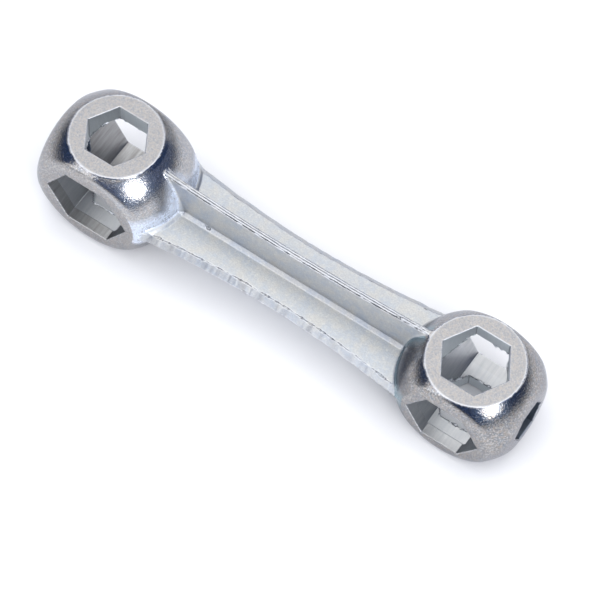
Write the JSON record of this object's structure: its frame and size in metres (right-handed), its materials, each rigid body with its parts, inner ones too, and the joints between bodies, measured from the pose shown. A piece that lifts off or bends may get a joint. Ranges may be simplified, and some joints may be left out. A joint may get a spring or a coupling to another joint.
{
  "type": "dumbbell wrench",
  "caption": "Cast dumbbell-shaped wrench: a faceted ball with graded hexagonal sockets at each end of a waisted handle with a cross-shaped section.",
  "frame": {"origin": "under the middle of the handle, on the plane of the large head's lower ring face", "axes": "+X along the handle from the large head to the small head, +Z out of the top sockets, -Y out of the front side sockets"},
  "size_m": [0.0954, 0.0186, 0.0227],
  "materials": {
    "zinc_plated_steel": "bright zinc plate over a fine-grained cast surface"
  },
  "bodies": {
    "root": {"large_head": "zinc_plated_steel", "small_head": "zinc_plated_steel", "handle_flange": "zinc_plated_steel", "top_rib": "zinc_plated_steel", "bottom_rib": "zinc_plated_steel"}
  },
  "joints": []
}
